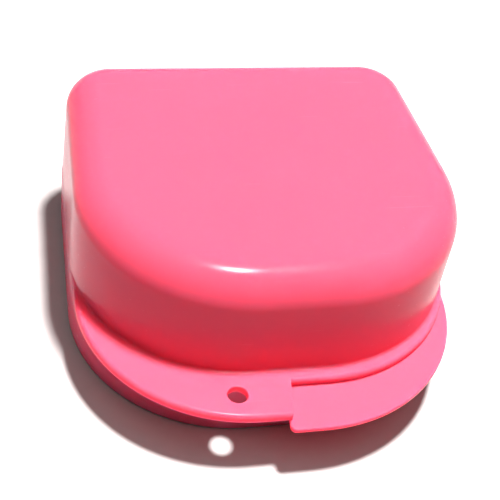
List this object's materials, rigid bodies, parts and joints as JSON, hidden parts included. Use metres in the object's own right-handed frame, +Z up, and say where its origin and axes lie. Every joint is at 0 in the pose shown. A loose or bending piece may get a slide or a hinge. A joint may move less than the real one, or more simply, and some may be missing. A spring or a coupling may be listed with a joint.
{
  "type": "mouthguard with hinged case",
  "caption": "D-shaped hinged plastic carrying case with thumb tabs, holding a boil-and-bite mouthguard that lies loose inside.",
  "frame": {"origin": "middle of the tray's flat underside, which rests on the table", "axes": "+Z up, the thumb tabs at the front towards -Y, the hinge at the back towards +Y, +X to the right of someone facing the tabs' side of the case from the front"},
  "size_m": [0.0784, 0.0892, 0.0379],
  "materials": {
    "case_plastic": "polished injection-moulded polypropylene",
    "pin_steel": "drawn steel wire pin",
    "guard_shell_eva": "satin moulded EVA",
    "guard_liner_eva": "soft clear EVA"
  },
  "bodies": {
    "base": {"case_base": "case_plastic", "hinge_pin": "pin_steel"},
    "lid": {"case_lid": "case_plastic"},
    "guard": {"guard_shell": "guard_shell_eva", "guard_liner": "guard_liner_eva"}
  },
  "joints": [
    {"name": "lid_hinge", "type": "hinge", "parent": "base", "child": "lid", "pos_m": [0, 0.0396, 0.0128], "axis": [-1, 0, 0], "range_deg": [0, 125]},
    {"name": "guard_lift", "type": "slide", "parent": "base", "child": "guard", "axis": [0, 0, 1], "range_m": [0, 0.009]}
  ]
}
